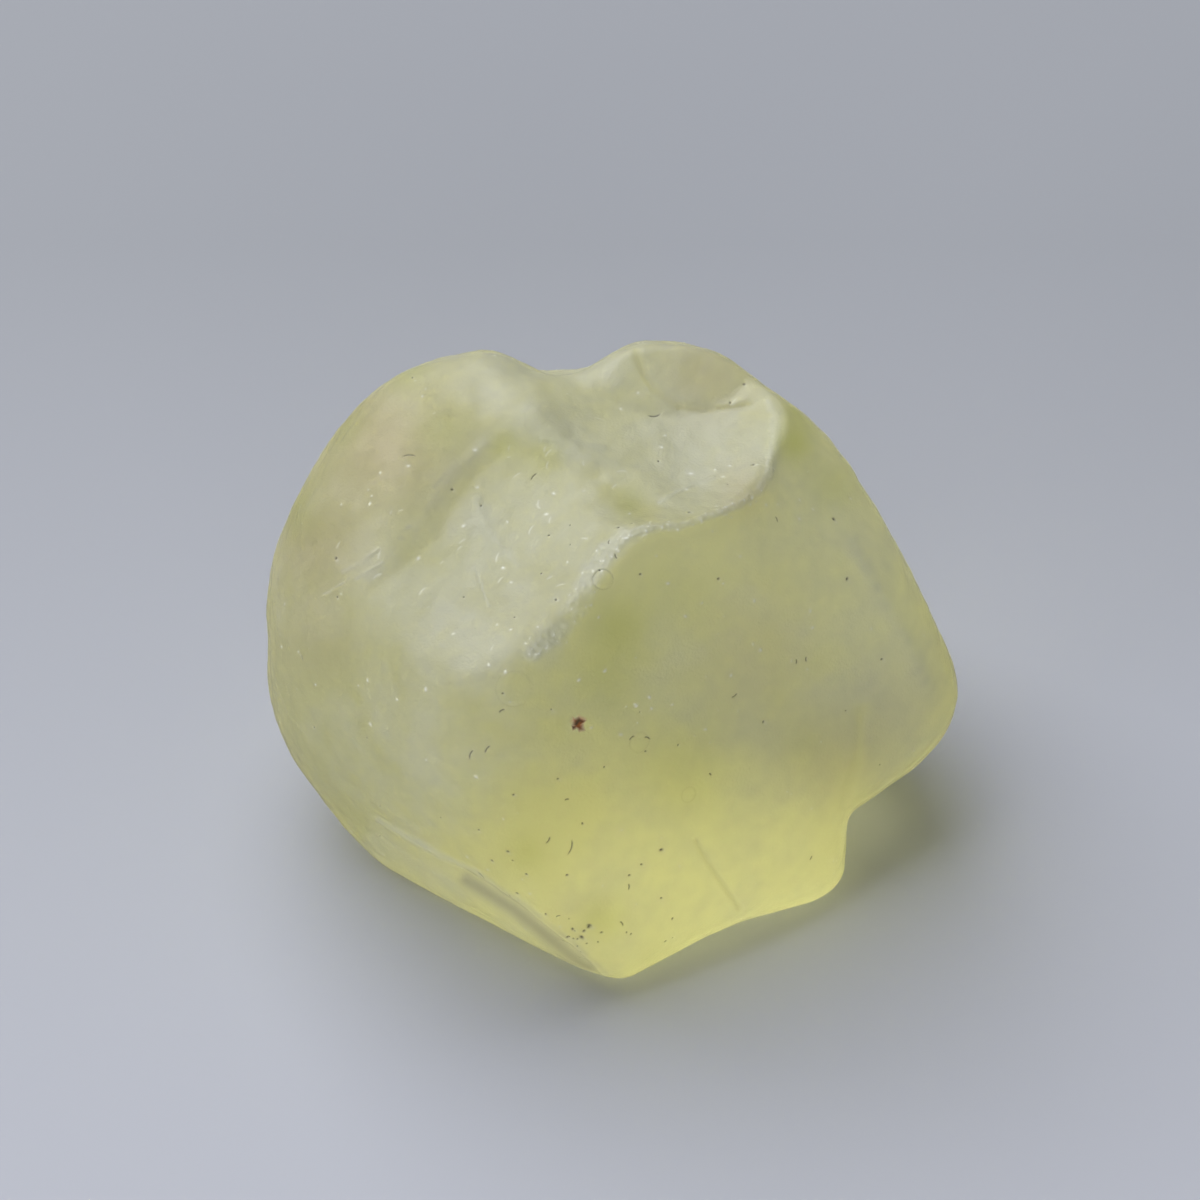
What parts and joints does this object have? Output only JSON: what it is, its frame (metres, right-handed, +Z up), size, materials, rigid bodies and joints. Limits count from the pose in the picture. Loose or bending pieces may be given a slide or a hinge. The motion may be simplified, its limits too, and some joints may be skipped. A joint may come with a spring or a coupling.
{
  "type": "libyan desert glass",
  "caption": "Natural pebble of yellow-green desert glass, worn satin smooth, with a chipped hollow and a ridge on its top.",
  "frame": {"origin": "centre of the bounding box on the plane that the pebble rests on", "axes": "+X along the longest extent, +Y towards the back, away from the broad front faces, +Z up"},
  "size_m": [0.031, 0.0252, 0.0214],
  "materials": {
    "desert_glass": "satin, wind-worn"
  },
  "bodies": {
    "root": {"desert_glass": "desert_glass"}
  },
  "joints": []
}
